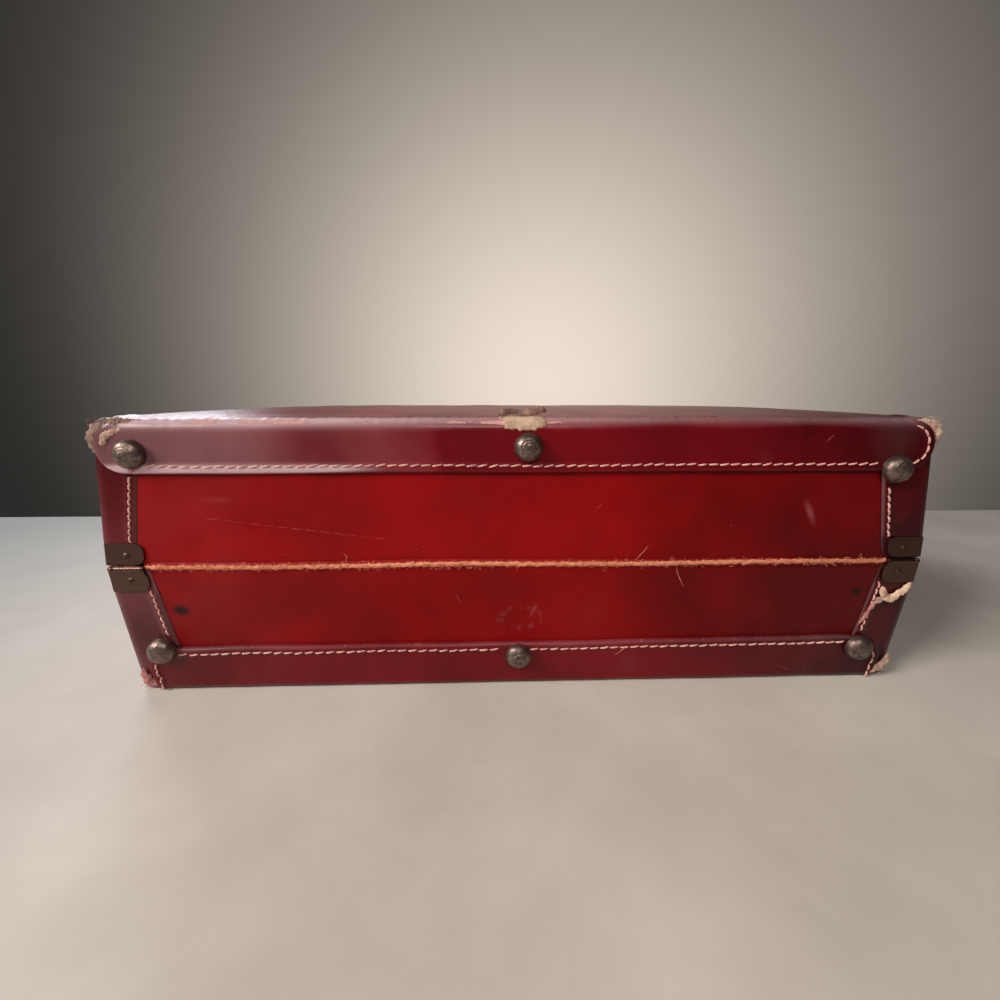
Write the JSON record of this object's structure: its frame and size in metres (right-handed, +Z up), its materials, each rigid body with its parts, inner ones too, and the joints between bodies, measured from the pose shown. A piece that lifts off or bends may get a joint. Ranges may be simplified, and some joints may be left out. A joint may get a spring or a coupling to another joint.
{
  "type": "leather suitcase",
  "caption": "Hard suitcase of leather over board: two splayed trays with a leather hinge, steel hinge leaves, domed studs, flip locks and a carrying handle.",
  "frame": {"origin": "centre of the flat face that the case lies on", "axes": "+Z up through the lid, +X along the case's length, -Y towards the hinge side, +Y towards the locks and handle"},
  "size_m": [0.454, 0.3265, 0.163],
  "materials": {
    "fibreboard": "matte",
    "lining_cloth": "matte",
    "face_leather": "satin",
    "panel_leather": "glossy",
    "raw_leather": "matte",
    "lip_board": "matte",
    "aged_steel": "tarnished",
    "bright_steel": "satin",
    "washer_steel": "satin",
    "old_brass": "satin"
  },
  "bodies": {
    "base": {"base_carcass": "fibreboard", "base_lining": "lining_cloth", "base_face_leather": "face_leather", "base_hinge_panel": "panel_leather", "base_front_panel": "panel_leather", "base_left_end_leather": "face_leather", "base_right_end_leather": "face_leather", "base_rim_binding": "face_leather", "closing_lip": "lip_board", "base_studs": "aged_steel", "base_stud_washers": "washer_steel", "leather_hinge_fold": "raw_leather", "left_hinge_base_leaf": "aged_steel", "right_hinge_base_leaf": "aged_steel", "hinge_pins": "bright_steel", "base_hinge_rivets": "aged_steel", "left_lock_body": "old_brass", "right_lock_body": "old_brass", "base_lock_rivets": "old_brass", "base_lock_back_plates": "washer_steel", "left_handle_bracket": "old_brass", "right_handle_bracket": "old_brass", "handle_pivot_pins": "bright_steel", "handle_bracket_rivets": "old_brass", "handle_back_plates": "washer_steel"},
    "lid": {"lid_carcass": "fibreboard", "lid_lining": "lining_cloth", "lid_face_leather": "face_leather", "lid_hinge_panel": "panel_leather", "lid_front_panel": "panel_leather", "lid_left_end_leather": "face_leather", "lid_right_end_leather": "face_leather", "lid_rim_binding": "face_leather", "lid_studs": "aged_steel", "lid_stud_washers": "washer_steel", "left_hinge_lid_leaf": "aged_steel", "right_hinge_lid_leaf": "aged_steel", "lid_hinge_rivets": "aged_steel", "left_hasp_plate": "old_brass", "right_hasp_plate": "old_brass", "lid_lock_rivets": "old_brass", "lid_lock_back_plates": "washer_steel", "hasp_pins": "bright_steel"},
    "handle": {"handle_end_fittings": "old_brass", "handle_grip": "face_leather"},
    "hasp_left": {"left_hasp": "old_brass"},
    "hasp_right": {"right_hasp": "old_brass"},
    "slide_left": {"left_slide_bolt": "old_brass"},
    "slide_right": {"right_slide_bolt": "old_brass"}
  },
  "joints": [
    {"name": "lid_hinge", "type": "hinge", "parent": "base", "child": "lid", "pos_m": [0, -0.1541, 0.076], "axis": [1, 0, 0], "range_deg": [0, 170]},
    {"name": "handle_swing", "type": "hinge", "parent": "base", "child": "handle", "pos_m": [0, 0.16136, 0.06238], "axis": [1, 0, 0], "range_deg": [0, 165]},
    {"name": "left_hasp_swing", "type": "hinge", "parent": "lid", "child": "hasp_left", "pos_m": [-0.15, 0.15758, 0.08263], "axis": [1, 0, 0], "range_deg": [0, 115]},
    {"name": "right_hasp_swing", "type": "hinge", "parent": "lid", "child": "hasp_right", "pos_m": [0.15, 0.15758, 0.08263], "axis": [1, 0, 0], "range_deg": [0, 115]},
    {"name": "left_lock_slide", "type": "slide", "parent": "base", "child": "slide_left", "axis": [-1, 0, 0], "range_m": [-0.005, 0]},
    {"name": "right_lock_slide", "type": "slide", "parent": "base", "child": "slide_right", "axis": [1, 0, 0], "range_m": [-0.005, 0]}
  ]
}
